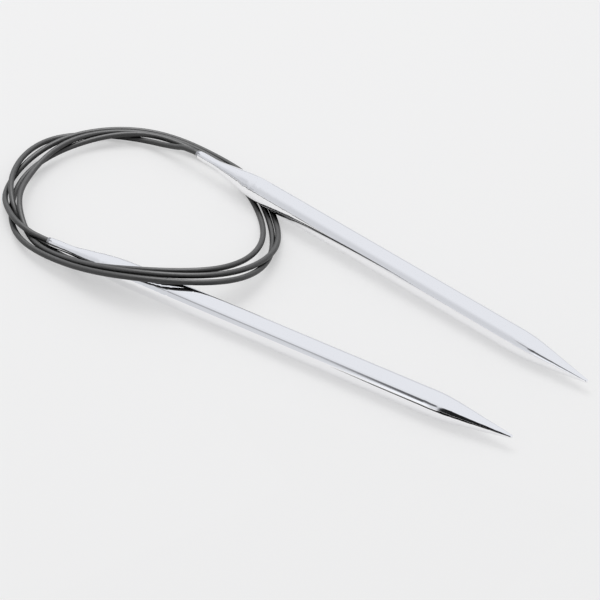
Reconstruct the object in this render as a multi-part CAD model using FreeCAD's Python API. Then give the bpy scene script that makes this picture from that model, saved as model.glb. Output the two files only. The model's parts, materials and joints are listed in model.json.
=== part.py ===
import FreeCAD, Part
import math
import os

# Fixed circular knitting needle, laid in a flat coil of cable with one needle tip
# over the coil and the other under it.
#
# Millimetres. +Z is up and the table is z = 0. The origin is under the centre of the
# bounding box. Both needle tips point towards +X and -Y.

Vector = FreeCAD.Vector
AXIS_X = Vector(1, 0, 0)
UP = Vector(0, 0, 1)

# ---- needle tip, measured from its lip towards its point ----
TIP_LENGTH = 169.0
SHAFT_RADIUS = 4.0
SHAFT_START = 50.0          # the cylinder begins here, where the rear cone ends
POINT_HALF_ANGLE = 8.8      # degrees
POINT_ROUNDING = 0.55
SHOULDER_ROUNDING = 60.0    # blends the cylinder into the point's cone
TUBE_WALL = 0.5
NOSE_SOLID_LENGTH = 10.0    # the hollow stops this far before the point
LIP_RADIUS = 1.32
NECK_BORE = 1.10
NECK_BORE_LENGTH = 12.0
# outside of the neck and of the S-shaped rear cone: distance from the lip, radius
REAR_CONE = [(2.0, 1.42), (4.5, 1.47), (9.0, 1.55), (12.8, 2.05), (17.0, 2.62),
             (21.0, 3.2), (25.3, 3.68), (30.0, 3.93), (38.0, 3.985)]
# inside of the cone, from the front of the bush's pocket onwards
HOLLOW_CONE = [(17.0, 2.1), (21.0, 2.68), (25.3, 3.17), (30.0, 3.42), (38.0, 3.485)]
POCKET_RADIUS = 1.45        # wider pocket behind the neck, for ferrule flange and bush
POCKET_LENGTH = 2.7
SLIT_WIDTH = 0.3
SLIT_LENGTH = 1.1
SLIT_ROLL = 40.0            # degrees the slit is turned about the needle's axis

# ---- ferrule and bush, on the same axis ----
FERRULE_RADIUS = 1.05
COLLAR_RADIUS = 1.2
COLLAR_LENGTH = 0.85
END_GAP = 0.06              # running gap between the ferrule's shoulders and the tip
FLANGE_RADIUS = 1.39
FLANGE_LENGTH = 1.0
BUSH_BORE = 0.6

# ---- cable ----
CABLE_RADIUS = 0.9
CORE_RADIUS = 0.45
CABLE_STRAIGHT = 1.5        # straight stretch outside the lip, behind the collar
LEAD_IN = 4.0               # the cable still points along the needle this far out
SWEEP_LENGTH = 80.0         # the long stretch is swept in lengths of about this

# ---- the bending ends of the cable, cut into ball-jointed segments ----
BALL_RADIUS = 0.8
SOCKET_RADIUS = 0.85
BEND_RELIEF = 0.42          # clears the segment's rim at its largest bend
BACK_JOINTS = [28.0, 23.0, 18.0, 13.0, 8.0, 3.0]   # distance along the cable from the lip
FRONT_JOINTS = [7.0, 3.0]

# ---- layout on the table ----
COIL_CENTRE = Vector(-43.92, 33.70, 0)
FRONT_LIP = Vector(-69.91, 13.49, SHAFT_RADIUS)
FRONT_HEADING = -37.01      # degrees from +X, seen from above
FRONT_SLOPE = 0.0
BACK_LIP = Vector(-25.69, 63.48, 6.5)
BACK_HEADING = -47.56
BACK_SLOPE = -1.0           # the point side is lower: it reaches down to the table

# The cable's centre line around the coil, from the front lip to the back one:
# turn in degrees (0 is the left side, 90 the back, counted clockwise from above),
# distance from the coil's centre, height.
FIRST_TURN = [(-14, 38.54, 4.58), (0, 41.26, 3.50), (15, 45.18, 1.85), (30, 48.59, 1.53),
              (60, 53.81, 3.29), (90, 53.36, 2.08), (120, 45.21, 0.95), (150, 41.61, 1.29),
              (180, 42.59, 0.97), (210, 49.43, 3.74), (240, 53.79, 8.88), (270, 46.27, 9.70),
              (300, 37.29, 4.83), (330, 36.12, 2.54), (345, 36.36, 2.70)]
SECOND_TURN = [(360, 37.66, 4.45), (390, 42.06, 3.99), (420, 49.05, 4.80), (450, 50.87, 2.58),
               (480, 43.23, 1.36), (510, 39.53, 0.96), (540, 40.58, 0.97), (570, 48.24, 1.89),
               (600, 56.90, 8.17), (630, 48.78, 9.30), (660, 39.83, 4.94), (690, 39.03, 2.87)]
THIRD_TURN = [(720, 40.54, 0.98), (750, 44.83, 2.02), (780, 48.42, 3.02), (810, 47.93, 3.90),
              (840, 41.23, 1.55), (870, 37.15, 1.10), (900, 38.13, 1.08), (930, 44.39, 3.90),
              (960, 51.30, 9.47), (990, 43.73, 8.99), (1020, 35.36, 3.63), (1050, 33.47, 1.11)]
LAST_STRETCH = [(1080, 38.75, 2.01), (1095, 43.04, 4.00), (1110, 48.31, 3.97), (1140, 59.04, 1.12),
                (1170, 46.43, 2.37), (1185, 39.64, 4.68)]


def lathe(profile_edges):
    """Solid of revolution about the X axis from a closed outline in the XY half plane."""
    outline = Part.Wire(Part.__sortEdges__(profile_edges))
    return Part.Face(outline).revolve(Vector(0, 0, 0), AXIS_X, 360)


def polyline(points):
    """Straight edges through (distance, radius) points."""
    corners = [Vector(x, y, 0) for x, y in points]
    return [Part.makeLine(a, b) for a, b in zip(corners, corners[1:])]


def smooth_edge(points, start_tangent, end_tangent):
    """One curved edge through (distance, radius) points."""
    curve = Part.BSplineCurve()
    curve.interpolate(Points=[Vector(x, y, 0) for x, y in points],
                      InitialTangent=start_tangent, FinalTangent=end_tangent)
    return curve.toShape()


def point_edges():
    """Outside of the point: shoulder arc, straight cone and rounded end."""
    angle = math.radians(POINT_HALF_ANGLE)
    round_centre = TIP_LENGTH - POINT_ROUNDING
    cone_end = Vector(round_centre + POINT_ROUNDING * math.sin(angle),
                      POINT_ROUNDING * math.cos(angle), 0)
    corner_x = cone_end.x - (SHAFT_RADIUS - cone_end.y) / math.tan(angle)
    blend = SHOULDER_ROUNDING * math.tan(angle / 2)
    shoulder_start = Vector(corner_x - blend, SHAFT_RADIUS, 0)
    shoulder_end = Vector(corner_x + blend * math.cos(angle),
                          SHAFT_RADIUS - blend * math.sin(angle), 0)
    shoulder_middle = Vector(shoulder_start.x + SHOULDER_ROUNDING * math.sin(angle / 2),
                             SHAFT_RADIUS - SHOULDER_ROUNDING * (1 - math.cos(angle / 2)), 0)
    half_turn = (math.pi / 2 - angle) / 2
    round_middle = Vector(round_centre + POINT_ROUNDING * math.cos(half_turn),
                          POINT_ROUNDING * math.sin(half_turn), 0)
    shaft = Part.makeLine(Vector(SHAFT_START, SHAFT_RADIUS, 0), shoulder_start)
    shoulder = Part.Arc(shoulder_start, shoulder_middle, shoulder_end).toShape()
    cone = Part.makeLine(shoulder_end, cone_end)
    rounding = Part.Arc(cone_end, round_middle, Vector(TIP_LENGTH, 0, 0)).toShape()
    return [shaft, shoulder, cone, rounding]


def tip_outline():
    """Closed half section of the hollow needle tip."""
    lip_round = (LIP_RADIUS - NECK_BORE) / 2
    lip_edge = Vector(lip_round, LIP_RADIUS, 0)
    bore_edge = Vector(lip_round, NECK_BORE, 0)
    lip = Part.Arc(bore_edge, Vector(0, NECK_BORE + lip_round, 0), lip_edge).toShape()
    rear = smooth_edge([(lip_round, LIP_RADIUS)] + REAR_CONE + [(SHAFT_START, SHAFT_RADIUS)],
                       Vector(1, 0.07, 0), AXIS_X)
    pocket_end = NECK_BORE_LENGTH + POCKET_LENGTH
    hollow_radius = SHAFT_RADIUS - TUBE_WALL
    hollow_end = TIP_LENGTH - NOSE_SOLID_LENGTH
    slope = math.tan(math.radians(POINT_HALF_ANGLE))
    nose_radius = NOSE_SOLID_LENGTH * slope - TUBE_WALL
    nose_start = hollow_end - (hollow_radius - nose_radius) / slope
    bore = polyline([(lip_round, NECK_BORE), (NECK_BORE_LENGTH, NECK_BORE),
                     (NECK_BORE_LENGTH, POCKET_RADIUS), (pocket_end, POCKET_RADIUS)])
    hollow = smooth_edge([(pocket_end, POCKET_RADIUS)] + HOLLOW_CONE
                         + [(SHAFT_START, hollow_radius)],
                         Vector(1, 0.25, 0), AXIS_X)
    nose = polyline([(SHAFT_START, hollow_radius), (nose_start, hollow_radius),
                     (hollow_end, nose_radius), (hollow_end, 0), (TIP_LENGTH, 0)])
    return [lip, rear] + point_edges() + bore + [hollow] + nose


def needle_tip():
    """Hollow needle tip with a slit across its lip."""
    tube = lathe(tip_outline())
    slit = Part.makeBox(SLIT_LENGTH * 2, SLIT_WIDTH, SHAFT_RADIUS,
                        Vector(-SLIT_LENGTH, -SLIT_WIDTH / 2, 0))
    slit.rotate(Vector(0, 0, 0), AXIS_X, SLIT_ROLL)
    return largest_solid(tube.cut(slit))


def ferrule():
    """Crimp ferrule: collar outside the lip, sleeve in the bore, flange in the pocket."""
    collar_face = -END_GAP
    flange_face = NECK_BORE_LENGTH + END_GAP
    flange_end = flange_face + FLANGE_LENGTH
    collar_start = collar_face - COLLAR_LENGTH
    return lathe(polyline([
        (collar_start, CABLE_RADIUS), (flange_end, CABLE_RADIUS),
        (flange_end, FLANGE_RADIUS), (flange_face, FLANGE_RADIUS),
        (flange_face, FERRULE_RADIUS), (collar_face, FERRULE_RADIUS),
        (collar_face, COLLAR_RADIUS), (collar_start, COLLAR_RADIUS),
        (collar_start, CABLE_RADIUS)]))


def retaining_bush():
    """Ring fixed in the pocket in front of the ferrule's flange."""
    start = NECK_BORE_LENGTH + 2 * END_GAP + FLANGE_LENGTH
    end = NECK_BORE_LENGTH + POCKET_LENGTH
    return lathe(polyline([(start, BUSH_BORE), (end, BUSH_BORE), (end, POCKET_RADIUS),
                           (start, POCKET_RADIUS), (start, BUSH_BORE)]))


def needle_placement(lip, heading, slope):
    """Places the needle's own X axis, lip at zero, on the table."""
    turn = FreeCAD.Rotation(UP, heading).multiply(FreeCAD.Rotation(Vector(0, 1, 0), -slope))
    return FreeCAD.Placement(lip, turn)


def front_placement():
    """Where the front needle lies: flat on the table, under the coil's near side."""
    return needle_placement(FRONT_LIP, FRONT_HEADING, FRONT_SLOPE)


def back_placement():
    """Where the back needle lies: over the coil's far side, point down on the table."""
    return needle_placement(BACK_LIP, BACK_HEADING, BACK_SLOPE)


def coil_point(turn, radius, height):
    """Point of the coil's centre line at a turn angle in degrees."""
    angle = math.radians(turn)
    return COIL_CENTRE + Vector(-radius * math.cos(angle), radius * math.sin(angle), height)


def cable_path():
    """Centre line of the whole cable between its two straight ends."""
    front = front_placement()
    back = back_placement()
    straight = [CABLE_STRAIGHT, (CABLE_STRAIGHT + LEAD_IN) / 2, LEAD_IN]
    stations = FIRST_TURN + SECOND_TURN + THIRD_TURN + LAST_STRETCH
    points = [front.multVec(Vector(-distance, 0, 0)) for distance in straight]
    points += [coil_point(*station) for station in stations]
    points += [back.multVec(Vector(-distance, 0, 0)) for distance in reversed(straight)]
    path = Part.BSplineCurve()
    path.interpolate(Points=points)
    return path


def path_parameter(path, from_front):
    """Parameter of the path at a distance along the cable from the front lip."""
    return path.parameterAtDistance(from_front - CABLE_STRAIGHT, path.FirstParameter)


def joint_stations(path):
    """Distances from the front lip of the front and the back joints, coil side first."""
    whole = path.length() + 2 * CABLE_STRAIGHT
    return FRONT_JOINTS, [whole - distance for distance in BACK_JOINTS]


def swept(wire, outer_radius, inner_radius=0):
    """Round rod or tube along a wire."""
    first_edge = wire.OrderedEdges[0]
    start = first_edge.valueAt(first_edge.FirstParameter)
    tangent = first_edge.tangentAt(first_edge.FirstParameter)
    section = Part.Face(Part.Wire(Part.makeCircle(outer_radius, start, tangent)))
    if inner_radius:
        section = section.cut(Part.Face(Part.Wire(Part.makeCircle(inner_radius, start, tangent))))
    return largest_solid(wire.makePipe(section))


def path_wire(path, begin, end):
    """Stretch of the path between two distances from the front lip, in short sweeps."""
    count = max(1, round((end - begin) / SWEEP_LENGTH))
    marks = [path_parameter(path, begin + (end - begin) * step / count)
             for step in range(count + 1)]
    return Part.Wire([path.toShape(first, last) for first, last in zip(marks, marks[1:])])


def ball_end(centre, outward):
    """Half ball that closes the end of a stretch; outward points away from the stretch."""
    return Part.makeSphere(BALL_RADIUS, centre, outward, 0, 90, 360)


def cable_stretch(wire, balls, sockets):
    """Jacket and core of one rigid stretch of cable.

    balls are (joint centre, outward direction) where the jacket ends in a ball, sockets
    the joint centres where both are hollowed for the neighbour's ball.
    """
    core = swept(wire, CORE_RADIUS)
    jacket = swept(wire, CABLE_RADIUS, CORE_RADIUS)
    for centre, outward in balls:
        jacket = jacket.fuse(ball_end(centre, outward))
    for centre in sockets:
        hollow = Part.makeSphere(SOCKET_RADIUS, centre)
        jacket = jacket.cut(hollow)
        core = core.cut(hollow)
    return largest_solid(jacket), largest_solid(core)


def largest_solid(shape):
    """The one solid of a boolean result."""
    return max(shape.Solids, key=lambda solid: solid.Volume)


def ball_at(path, distance, outward):
    """Joint centre at a distance from the front lip, with the direction of the ball there.

    outward is the direction along the cable: +1 towards the back needle, -1 the front one.
    """
    parameter = path_parameter(path, distance)
    return path.value(parameter), path.tangent(parameter)[0] * outward


def coil_pieces(path):
    """The part of the cable that lies still, a ball at each end."""
    front, back = joint_stations(path)
    balls = [ball_at(path, front[0], -1), ball_at(path, back[0], 1)]
    return cable_stretch(path_wire(path, front[0], back[0]), balls, [])


def free_end_pieces(path, joints, outward, placement):
    """Jackets and cores of one free end, from the coil to the needle.

    joints are distances from the front lip, outward is the direction along the cable
    towards this needle: +1 for the back needle, -1 for the front one.
    """
    pieces = []
    for near, far in zip(joints, joints[1:]):
        stretch = sorted([near + outward * BEND_RELIEF, far])
        socket = path.value(path_parameter(path, near))
        pieces.append(cable_stretch(path_wire(path, *stretch), [ball_at(path, far, outward)],
                                    [socket]))
    last = joints[-1]
    lip_end = CABLE_STRAIGHT if outward < 0 else path.length() + CABLE_STRAIGHT
    curved = path_wire(path, *sorted([last + outward * BEND_RELIEF, lip_end])).Edges[0]
    straight = Part.makeLine(placement.multVec(Vector(-CABLE_STRAIGHT, 0, 0)),
                             placement.multVec(Vector(NECK_BORE_LENGTH + END_GAP, 0, 0)))
    run = Part.Wire(Part.__sortEdges__([curved, straight]))
    socket = path.value(path_parameter(path, last))
    pieces.append(cable_stretch(run, [], [socket]))
    return pieces


def all_pieces():
    """Every node name with its solid."""
    path = cable_path()
    nodes = {}
    nodes["cable_jacket_coil"], nodes["cable_core_coil"] = coil_pieces(path)
    front_joints, back_joints = joint_stations(path)
    ends = [("front", front_joints, -1, front_placement()),
            ("back", back_joints, 1, back_placement())]
    for side, joints, outward, placement in ends:
        pieces = free_end_pieces(path, joints, outward, placement)
        for number, (jacket, core) in enumerate(pieces, start=1):
            nodes[f"{side}_cable_jacket_{number}"] = jacket
            nodes[f"{side}_cable_core_{number}"] = core
        hardware = [("needle_tip", needle_tip()), ("crimp_ferrule", ferrule()),
                    ("retaining_bush", retaining_bush())]
        for name, shape in hardware:
            shape.Placement = placement
            nodes[f"{side}_{name}"] = shape
    return nodes


def main():
    """Writes one STEP file per node."""
    os.makedirs("parts", exist_ok=True)
    for name, shape in all_pieces().items():
        shape.exportStep(f"parts/{name}.step")


if __name__ == "__main__":
    main()
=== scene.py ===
import json
import math

import bpy
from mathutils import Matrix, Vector

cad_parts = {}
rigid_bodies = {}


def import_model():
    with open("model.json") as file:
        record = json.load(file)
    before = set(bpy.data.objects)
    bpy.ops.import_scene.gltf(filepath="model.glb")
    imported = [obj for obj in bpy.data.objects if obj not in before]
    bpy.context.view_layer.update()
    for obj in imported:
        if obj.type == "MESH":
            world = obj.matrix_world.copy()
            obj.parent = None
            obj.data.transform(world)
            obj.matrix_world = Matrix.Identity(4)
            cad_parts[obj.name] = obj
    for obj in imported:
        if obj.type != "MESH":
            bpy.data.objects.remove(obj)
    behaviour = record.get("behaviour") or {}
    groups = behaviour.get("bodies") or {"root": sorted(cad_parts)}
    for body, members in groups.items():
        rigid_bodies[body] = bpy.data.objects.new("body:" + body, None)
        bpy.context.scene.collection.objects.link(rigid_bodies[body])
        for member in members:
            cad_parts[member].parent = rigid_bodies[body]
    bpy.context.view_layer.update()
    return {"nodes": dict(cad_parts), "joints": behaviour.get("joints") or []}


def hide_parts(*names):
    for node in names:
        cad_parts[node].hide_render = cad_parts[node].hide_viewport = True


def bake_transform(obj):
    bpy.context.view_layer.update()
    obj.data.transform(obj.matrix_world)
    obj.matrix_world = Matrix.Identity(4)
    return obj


MM = 0.001

# ---- camera: the photo's viewing angle ----
CAMERA_TARGET = Vector((6.93, -13.29, 0.0)) * MM
CAMERA_DISTANCE = 720 * MM
CAMERA_ELEVATION = 33.0
CAMERA_LENS = 143.8
SENSOR_WIDTH = 36.0
NEAREST_SEEN = 10 * MM

# ---- jacket over the cable's free ends, in mm ----
CABLE_RADIUS = 0.9
SKIN_SIDES = 24
SKIN_STEP = 0.35
NECK_STATIONS = (-1.0, 2.0, 5.0)    # centre line's last points, along the needle from its lip

# ---- cable coating, darkened by painted shade in its crevices ----
COATING_GRAIN = 2600.0
COATING_DARK = (0.020, 0.020, 0.020, 1)
COATING_LIGHT = (0.038, 0.0377, 0.0374, 1)
COATING_GLOSS = 0.45
# painted shade: the coating darkens to black in the crevices between strands
PAINTED_SHADE_REACH = 6.0 * MM
PAINTED_SHADE_BLACK_SKY = 0.25                  # share of open sky at which the painted crevice shade makes the coating black
PAINTED_SHADE_FREE_SKY = 0.80                     # and at which the coating has its full colour, without painted shade

# ---- paper on the table ----
FLOOR_HALF_SIDE = 3.0
PAPER_COLOUR = (0.50, 0.50, 0.502, 1)
PAPER_GLOW_COLOUR = (1.0, 1.0, 1.005, 1)
PAPER_GLOW = 0.41                   # light of its own, which keeps the shadows soft

# ---- lights: place and size in metres, power in watts ----
TOP_LIGHT = {"place": (-0.1, 0.4, 1.15), "size": (0.9, 0.9), "power": 4.6}
CABLE_LIGHT = {"place": (0.0, 0.45, 1.2), "size": (0.6, 0.5), "power": 26.0}
FILL_STRENGTH = 0.66

# ---- black card in front of the front needle: mm along and across it, from its lip ----
CARD_HEIGHT = 0.1
CARD_OUTLINE = [(95, 30), (115, 21), (138, 19), (146, 17), (200, 12), (200, 300), (56, 300),
                (131, 50), (95, 34)]

# ---- white tent that the needles reflect; angles in degrees ----
TENT_COLOUR = (0.965, 0.985, 1.035, 1)
TENT_STRENGTH = 0.86
LEFT_SHADE = 0.18
LEFT_SHADE_STARTS = (130.0, 165.0)
LEFT_SHADE_ENDS = (25.0, 50.0)
DEEPEST_DARK = 0.985
# patches of the tent: (lowest, highest, feather) of compass angle and of height, and strength
STREAK = ((-154.5, -151.0, 2.0), (-1.0, 11.0, 2.0), 0.34)
OPENING = ((-143.0, -124.0, 3.0), (-2.0, 36.0, 3.0), 1.0)
FAR_EDGE = ((50.0, 180.0, 30.0), (3.0, 11.0, 4.0), 0.22)
FOLD_END = ((-150.0, -141.0, 1.5), (21.0, 31.5, 3.0), 0.85)
SEAM = ((-160.0, -146.0, 4.0), (28.0, 32.0, 2.0), 0.45)
# long fold: where each of its edges fades, and how it leans
FOLD_LEAN = 0.25
FOLD_LEFT = (-155.0, -151.0)
FOLD_RIGHT = (-150.0, -148.5)
FOLD_FOOT = (12.0, 15.0)
FOLD_TOP = (31.5, 34.5)
FOLD_FOOT_CORNER = -150.6
FOLD_FOOT_SLOPE = 4.0
FOLD_STRENGTH = 0.9


def node_material(name):
    """Empty node material with its Principled shader."""
    material = bpy.data.materials.new(name)
    material.use_nodes = True
    shader = material.node_tree.nodes["Principled BSDF"]
    return material, material.node_tree, shader


def noise(tree, scale, detail=3.0):
    """Object-space noise texture."""
    coordinates = tree.nodes.new("ShaderNodeTexCoord")
    texture = tree.nodes.new("ShaderNodeTexNoise")
    texture.inputs["Scale"].default_value = scale
    texture.inputs["Detail"].default_value = detail
    tree.links.new(coordinates.outputs["Object"], texture.inputs["Vector"])
    return texture.outputs["Fac"]


def vary(tree, value, low, high, target):
    """Maps a 0-1 value to low..high and links it to a shader input."""
    mapper = tree.nodes.new("ShaderNodeMapRange")
    mapper.inputs["To Min"].default_value = low
    mapper.inputs["To Max"].default_value = high
    tree.links.new(value, mapper.inputs["Value"])
    tree.links.new(mapper.outputs["Result"], target)


def bump(tree, value, shader, strength, distance):
    """Bumps a shader's normal with a 0-1 value."""
    node = tree.nodes.new("ShaderNodeBump")
    node.inputs["Strength"].default_value = strength
    node.inputs["Distance"].default_value = distance
    tree.links.new(value, node.inputs["Height"])
    tree.links.new(node.outputs["Normal"], shader.inputs["Normal"])


def metal(name, colour, grain, smoothest, roughest):
    """Bare metal whose roughness varies over a noise of the given scale."""
    material, tree, shader = node_material(name)
    shader.inputs["Base Color"].default_value = (*colour, 1)
    shader.inputs["Metallic"].default_value = 1.0
    vary(tree, noise(tree, grain), smoothest, roughest, shader.inputs["Roughness"])
    return material


def polished_metal():
    """Mirror-bright nickel plating."""
    return metal("polished_nickel", colour=(0.93, 0.93, 0.94), grain=90.0,
                 smoothest=0.05, roughest=0.09)


def ferrule_metal():
    """Satin turned steel."""
    return metal("ferrule_steel", colour=(0.42, 0.42, 0.43), grain=4000.0,
                 smoothest=0.25, roughest=0.4)


def bush_brass():
    """Turned brass."""
    return metal("bush_brass", colour=(0.72, 0.52, 0.22), grain=3000.0,
                 smoothest=0.25, roughest=0.35)


def steel_strand():
    """Steel wire of the cable's core."""
    return metal("steel_strand", colour=(0.5, 0.5, 0.51), grain=2500.0,
                 smoothest=0.3, roughest=0.5)


def painted_shade_openness(tree):
    """Painted shade mask: 0 in the crevices between neighbouring strands, where the coating is
    painted black, 1 where nothing near covers the surface.
    """
    occlusion = tree.nodes.new("ShaderNodeAmbientOcclusion")
    occlusion.inputs["Distance"].default_value = PAINTED_SHADE_REACH
    exposed = tree.nodes.new("ShaderNodeMapRange")
    exposed.inputs["From Min"].default_value = PAINTED_SHADE_BLACK_SKY
    exposed.inputs["From Max"].default_value = PAINTED_SHADE_FREE_SKY
    tree.links.new(occlusion.outputs["AO"], exposed.inputs["Value"])
    return exposed.outputs["Result"]


def cable_coating():
    """Dark grey satin coating with a very fine grain, with painted shade that turns it black and
    dull in crevices.
    """
    material, tree, shader = node_material("cable_coating")
    fine = noise(tree, COATING_GRAIN, detail=4.0)
    shade = tree.nodes.new("ShaderNodeValToRGB")
    dark, light = shade.color_ramp.elements
    dark.position = 0.3
    dark.color = COATING_DARK
    light.position = 0.7
    light.color = COATING_LIGHT
    tree.links.new(fine, shade.inputs["Fac"])
    # painted shade: colour and gloss fade to black where neighbouring strands crowd the surface
    exposed = painted_shade_openness(tree)
    shaded = tree.nodes.new("ShaderNodeMix")
    shaded.data_type = "RGBA"
    shaded.inputs["A"].default_value = (0.0, 0.0, 0.0, 1)
    tree.links.new(exposed, shaded.inputs["Factor"])
    tree.links.new(shade.outputs["Color"], shaded.inputs["B"])
    tree.links.new(shaded.outputs["Result"], shader.inputs["Base Color"])
    vary(tree, fine, 0.46, 0.56, shader.inputs["Roughness"])
    vary(tree, exposed, 0.0, COATING_GLOSS, shader.inputs["Specular IOR Level"])
    bump(tree, fine, shader, strength=0.10, distance=0.05 * MM)
    return material


def floor_material():
    """Seamless pale paper with a painted glow of its own, which keeps the shadows on it soft."""
    material, tree, shader = node_material("pale_paper")
    shader.inputs["Base Color"].default_value = PAPER_COLOUR
    shader.inputs["Roughness"].default_value = 0.9
    shader.inputs["Specular IOR Level"].default_value = 0.1
    shader.inputs["Emission Color"].default_value = PAPER_GLOW_COLOUR
    shader.inputs["Emission Strength"].default_value = PAPER_GLOW
    bump(tree, noise(tree, 700.0), shader, strength=0.02, distance=0.2 * MM)
    return material


def card_material():
    """Black that reflects nothing."""
    material, _, shader = node_material("black_card")
    shader.inputs["Base Color"].default_value = (0, 0, 0, 1)
    shader.inputs["Specular IOR Level"].default_value = 0.0
    return material


def mesh_object(name, points, faces, material):
    """Smooth-shaded mesh object in the row frame."""
    mesh = bpy.data.meshes.new(name)
    mesh.from_pydata([tuple(p) for p in points], [], faces)
    mesh.update()
    mesh.shade_smooth()
    mesh.materials.append(material)
    thing = bpy.data.objects.new(name, mesh)
    bpy.context.scene.collection.objects.link(thing)
    return thing


def smooth_line(points, step):
    """Evenly stepped points on a smooth curve through points, all in mm."""
    knots = [points[0] * 2 - points[1]] + points + [points[-1] * 2 - points[-2]]
    line = []
    for a, b, c, d in zip(knots, knots[1:], knots[2:], knots[3:]):
        count = max(2, round((c - b).length / step))
        for k in range(count):
            t = k / count
            line.append(0.5 * (2 * b + (c - a) * t + (2 * a - 5 * b + 4 * c - d) * t * t
                               + (3 * b - 3 * c + d - a) * t ** 3))
    return line + [points[-1]]


def tube(name, line, radius, material):
    """Open tube round a line of points, with its radius and line given in mm."""
    before = line[:1] + line[:-1]
    after = line[1:] + line[-1:]
    directions = [(b - a).normalized() for a, b in zip(before, after)]
    side = Vector((0, 0, 1)).cross(directions[0])
    points = []
    for centre, along in zip(line, directions):
        side = (side - along * side.dot(along)).normalized()
        up = along.cross(side)
        for k in range(SKIN_SIDES):
            turn = 2 * math.pi * k / SKIN_SIDES
            points.append((centre + (side * math.cos(turn) + up * math.sin(turn)) * radius) * MM)
    faces = []
    for ring in range(len(line) - 1):
        for k in range(SKIN_SIDES):
            a = ring * SKIN_SIDES + k
            b = ring * SKIN_SIDES + (k + 1) % SKIN_SIDES
            faces.append((a, b, b + SKIN_SIDES, a + SKIN_SIDES))
    return mesh_object(name, points, faces, material)


def needle_turn(frame, side):
    """Joint that one needle turns on; it sits at the needle's lip, along the needle."""
    return next(joint for joint in frame["joints"] if joint["name"] == side + "_needle_turn")


def cable_skins(frame, side, material):
    """Continuous jacket over the free end behind one needle, bending at every hinge."""
    hinges = [joint for joint in frame["joints"] if joint["name"].startswith(side + "_cable")]
    turn = needle_turn(frame, side)
    lip = Vector(turn["pos_m"]) / MM
    axis = Vector(turn["axis"])
    marks = [Vector(hinge["pos_m"]) / MM for hinge in hinges]
    first_step = marks[1] - marks[0]
    bend = (marks[2] - marks[1]) - first_step if len(marks) > 2 else Vector()
    before = marks[0] - first_step + bend
    route = [before] + marks + [lip + axis * station for station in NECK_STATIONS]
    for i, hinge in enumerate(hinges, start=1):
        line = smooth_line(route[i - 1:i + 2], SKIN_STEP)
        half = len(line) // 2
        start = half // 2
        end = half + (len(line) - half) // 2
        if i == len(hinges):
            line = smooth_line(route[i - 1:], SKIN_STEP)
            end = len(line) - 1
        piece = tube(f"{side}_cable_skin_{i}", line[start:end + 1], CABLE_RADIUS, material)
        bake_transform(piece)
        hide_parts(f"{side}_cable_jacket_{i}")


def make_camera():
    """Long-lens camera at the photo's elevation."""
    data = bpy.data.cameras.new("camera")
    data.lens = CAMERA_LENS
    data.sensor_width = SENSOR_WIDTH
    data.clip_start = NEAREST_SEEN
    camera = bpy.data.objects.new("camera", data)
    angle = math.radians(CAMERA_ELEVATION)
    back = Vector((0, -math.cos(angle), math.sin(angle)))
    camera.location = CAMERA_TARGET + back * CAMERA_DISTANCE
    camera.rotation_mode = "QUATERNION"
    camera.rotation_quaternion = (-back).to_track_quat("-Z", "Y")
    bpy.context.scene.collection.objects.link(camera)
    bpy.context.scene.camera = camera


def make_floor():
    """Large plain table top."""
    far = FLOOR_HALF_SIDE
    corners = [(-far, -far, 0), (far, -far, 0), (far, far, 0), (-far, far, 0)]
    floor = mesh_object("floor", corners, [(0, 1, 2, 3)], floor_material())


def black_card(frame):
    """Card beside the front point, seen only as a dark line and a black band in the needle."""
    turn = needle_turn(frame, "front")
    lip = Vector(turn["pos_m"])
    lip.z = CARD_HEIGHT * MM
    along = Vector(turn["axis"])
    across = along.cross(Vector((0, 0, 1))).normalized()
    points = [lip + (along * a + across * b) * MM for a, b in CARD_OUTLINE]
    card = mesh_object("black_card", points, [tuple(range(len(points)))], card_material())
    card.visible_camera = False
    card.visible_diffuse = False
    card.visible_shadow = False


def area_light(name, place, size, power):
    """Soft rectangular light aimed at the object, itself unseen in reflections."""
    data = bpy.data.lights.new(name, "AREA")
    data.shape = "RECTANGLE"
    data.size, data.size_y = size
    data.energy = power
    light = bpy.data.objects.new(name, data)
    light.location = place
    light.rotation_euler = (-Vector(place)).to_track_quat("-Z", "Y").to_euler()
    light.visible_glossy = False
    bpy.context.scene.collection.objects.link(light)
    return light


def cable_light(coating):
    """Light that falls only on the coated pieces and gives them their satin highlight."""
    light = area_light("cable_light", **CABLE_LIGHT)
    light.visible_glossy = True
    cable = bpy.data.collections.new("cable")
    for thing in bpy.data.objects:
        if thing.type == "MESH" and coating.name in thing.data.materials:
            cable.objects.link(thing)
    light.light_linking.receiver_collection = cable


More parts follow.
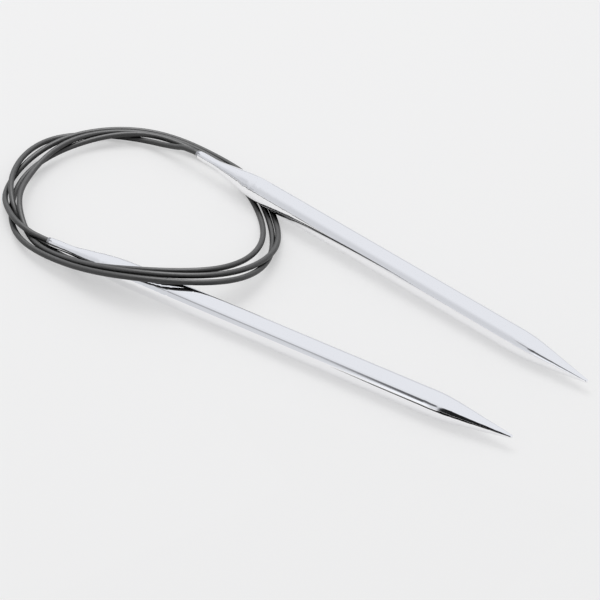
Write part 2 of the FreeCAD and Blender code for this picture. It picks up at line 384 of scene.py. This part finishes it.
class NodeMath:
    """Arithmetic nodes in one shader tree; values are sockets or numbers."""

    def __init__(self, tree):
        self.tree = tree

    def math(self, operation, a, b=0.0):
        """One math node."""
        node = self.tree.nodes.new("ShaderNodeMath")
        node.operation = operation
        for socket, value in zip(node.inputs, (a, b)):
            if isinstance(value, (int, float)):
                socket.default_value = value
            else:
                self.tree.links.new(value, socket)
        return node.outputs["Value"]

    def plus(self, a, b):
        """Sum."""
        return self.math("ADD", a, b)

    def minus(self, a, b):
        """Difference."""
        return self.math("SUBTRACT", a, b)

    def times(self, a, *others):
        """Product of all its values."""
        for other in others:
            a = self.math("MULTIPLY", a, other)
        return a

    def larger(self, a, b):
        """The larger of two values."""
        return self.math("MAXIMUM", a, b)

    def rise(self, value, low, high):
        """Smooth step from 0 at low to 1 at high."""
        node = self.tree.nodes.new("ShaderNodeMapRange")
        node.interpolation_type = "SMOOTHSTEP"
        self.tree.links.new(value, node.inputs["Value"])
        node.inputs["From Min"].default_value = low
        node.inputs["From Max"].default_value = high
        return node.outputs["Result"]

    def fall(self, value, low, high):
        """Smooth step from 1 at low to 0 at high."""
        return self.minus(1.0, self.rise(value, low, high))

    def band(self, value, low, high, feather):
        """1 between low and high, fading over feather outside them."""
        return self.times(self.rise(value, low - feather, low),
                          self.fall(value, high, high + feather))

    def patch(self, compass, height, limits):
        """Strength of one soft-edged patch of the tent."""
        across, upwards, strength = limits
        return self.times(self.band(compass, *across), self.band(height, *upwards), strength)


def ray_angles(tree, nodes):
    """Compass angle and height, in degrees, of the direction that a ray leaves in."""
    geometry = tree.nodes.new("ShaderNodeNewGeometry")
    split = tree.nodes.new("ShaderNodeSeparateXYZ")
    tree.links.new(geometry.outputs["Incoming"], split.inputs["Vector"])
    x, y, z = (nodes.times(split.outputs[name], -1.0) for name in "XYZ")
    degrees = 180 / math.pi
    compass = nodes.times(nodes.math("ARCTAN2", y, x), degrees)
    height = nodes.times(nodes.math("ARCSINE", z), degrees)
    return compass, height


def tent_cloth(nodes, compass, height):
    """Brightness of the cloth: shaded low down on the left, with one bright streak."""
    left = nodes.rise(nodes.math("ABSOLUTE", compass), *LEFT_SHADE_STARTS)
    low_down = nodes.fall(height, *LEFT_SHADE_ENDS)
    cloth = nodes.minus(TENT_STRENGTH, nodes.times(left, low_down, LEFT_SHADE))
    return nodes.plus(cloth, nodes.patch(compass, height, STREAK))


def long_fold(nodes, leaning, height):
    """Darkness of the fold whose reflection runs along the front needle's shaft."""
    short_of_corner = nodes.larger(nodes.minus(FOLD_FOOT_CORNER, leaning), 0.0)
    above_foot = nodes.minus(height, nodes.times(short_of_corner, FOLD_FOOT_SLOPE))
    return nodes.times(nodes.rise(above_foot, *FOLD_FOOT), nodes.fall(height, *FOLD_TOP),
                       nodes.rise(leaning, *FOLD_LEFT), nodes.fall(leaning, *FOLD_RIGHT),
                       FOLD_STRENGTH)


def tent_gaps(nodes, compass, height):
    """Darkness of the folds and gaps in the tent, which draw the dark lines in the needles."""
    leaning = nodes.plus(compass, nodes.times(height, FOLD_LEAN))
    darkness = nodes.patch(compass, height, OPENING)
    for gap in (long_fold(nodes, leaning, height), nodes.patch(leaning, height, FOLD_END),
                nodes.patch(leaning, height, SEAM), nodes.patch(compass, height, FAR_EDGE)):
        darkness = nodes.larger(darkness, gap)
    return darkness


def make_world():
    """Even white fill for matt surfaces, and a tent with dark gaps for reflections."""
    world = bpy.data.worlds.new("tent")
    bpy.context.scene.world = world
    world.use_nodes = True
    tree = world.node_tree
    tree.nodes.clear()
    nodes = NodeMath(tree)
    compass, height = ray_angles(tree, nodes)
    darkness = nodes.times(tent_gaps(nodes, compass, height), DEEPEST_DARK)
    seen = nodes.times(tent_cloth(nodes, compass, height), nodes.minus(1.0, darkness))

    reflected = tree.nodes.new("ShaderNodeBackground")
    reflected.inputs["Color"].default_value = TENT_COLOUR
    tree.links.new(seen, reflected.inputs["Strength"])
    fill = tree.nodes.new("ShaderNodeBackground")
    fill.inputs["Color"].default_value = (1, 1, 1, 1)
    fill.inputs["Strength"].default_value = FILL_STRENGTH
    light_path = tree.nodes.new("ShaderNodeLightPath")
    mix = tree.nodes.new("ShaderNodeMixShader")
    output = tree.nodes.new("ShaderNodeOutputWorld")
    tree.links.new(light_path.outputs["Is Glossy Ray"], mix.inputs["Fac"])
    tree.links.new(fill.outputs["Background"], mix.inputs[1])
    tree.links.new(reflected.outputs["Background"], mix.inputs[2])
    tree.links.new(mix.outputs["Shader"], output.inputs["Surface"])


def paint(node, material):
    """Gives a CAD node one material, and smooth shading led by its largest faces."""
    node.data.materials.clear()
    node.data.materials.append(material)
    node.data.shade_smooth()
    crisp = node.modifiers.new("crisp_normals", "WEIGHTED_NORMAL")
    crisp.weight = 100


def main():
    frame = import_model()
    finishes = {"needle_tip": polished_metal(), "crimp_ferrule": ferrule_metal(),
                "retaining_bush": bush_brass(), "cable_core": steel_strand(),
                "cable_jacket": cable_coating()}
    for name, node in frame["nodes"].items():
        kind = next(kind for kind in finishes if kind in name)
        paint(node, finishes[kind])
    for side in ("front", "back"):
        cable_skins(frame, side, finishes["cable_jacket"])
    make_floor()
    black_card(frame)
    make_camera()
    make_world()
    area_light("top_light", **TOP_LIGHT)
    cable_light(finishes["cable_jacket"])
    scene = bpy.context.scene
    scene.view_settings.view_transform = "Standard"
    scene.view_settings.look = "None"


main()
